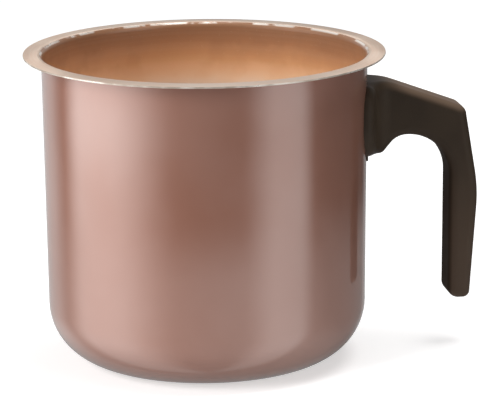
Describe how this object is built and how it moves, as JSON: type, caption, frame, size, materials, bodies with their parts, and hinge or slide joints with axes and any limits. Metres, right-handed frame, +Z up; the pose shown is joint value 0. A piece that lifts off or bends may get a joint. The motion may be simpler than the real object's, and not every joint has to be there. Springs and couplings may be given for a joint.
{
  "type": "milk pot",
  "caption": "Drawn aluminium milk pot with a flared lip, a large bottom corner and a moulded hook handle screwed to a bracket on the wall.",
  "frame": {"origin": "centre of the pot's flat underside, on the pot's axis", "axes": "+Z up along the pot's axis, +X from the axis towards the handle, +Y to the right of someone who holds the handle and looks at the pot"},
  "size_m": [0.2023, 0.16, 0.1385],
  "materials": {
    "lacquered_aluminium": "rose semi-gloss lacquer outside, copper-coloured gloss coating inside, bare cut edge",
    "phenolic": "satin dark brown phenolic moulding",
    "zinc_steel": "zinc plated",
    "rivet_aluminium": "plain"
  },
  "bodies": {
    "root": {"pot_body": "lacquered_aluminium", "handle": "phenolic", "handle_bracket": "zinc_steel", "bracket_rivets": "rivet_aluminium", "bracket_nut": "zinc_steel", "screw_washer": "zinc_steel", "handle_screw": "zinc_steel"}
  },
  "joints": []
}
